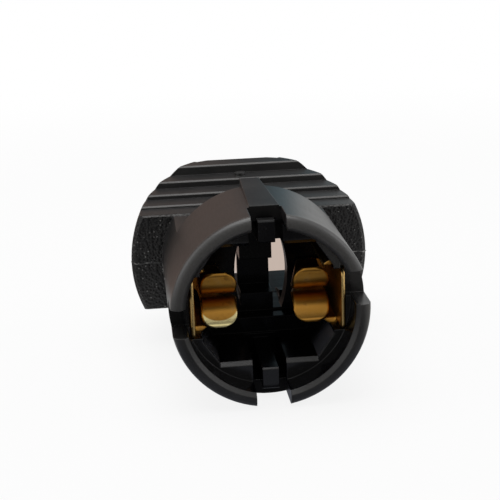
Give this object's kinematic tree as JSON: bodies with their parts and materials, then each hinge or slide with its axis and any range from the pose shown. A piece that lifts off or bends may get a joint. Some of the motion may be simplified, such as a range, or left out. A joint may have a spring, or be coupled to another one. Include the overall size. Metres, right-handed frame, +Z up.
{
  "type": "wedge lamp socket connector",
  "caption": "Moulded harness socket for a wedge-base lamp: slotted barrel with latch tongues, stepped finger grip, open rear plug cavity and a pair of brass spring contacts.",
  "frame": {"origin": "centre of the lamp mouth, on the barrel's axis, in the plane of the rim", "axes": "+Y runs back along the barrel's axis from the rim to the rear opening, +X is to the right seen from the front, +Z is up through the key rib"},
  "size_m": [0.032, 0.0392, 0.0247],
  "materials": {
    "housing": "black moulded plastic, smooth on the barrel and finely textured on the grip",
    "contact": "bright stamped strip with a slight amber tarnish"
  },
  "bodies": {
    "root": {"socket_housing": "housing", "left_contact": "contact", "right_contact": "contact"}
  },
  "joints": []
}
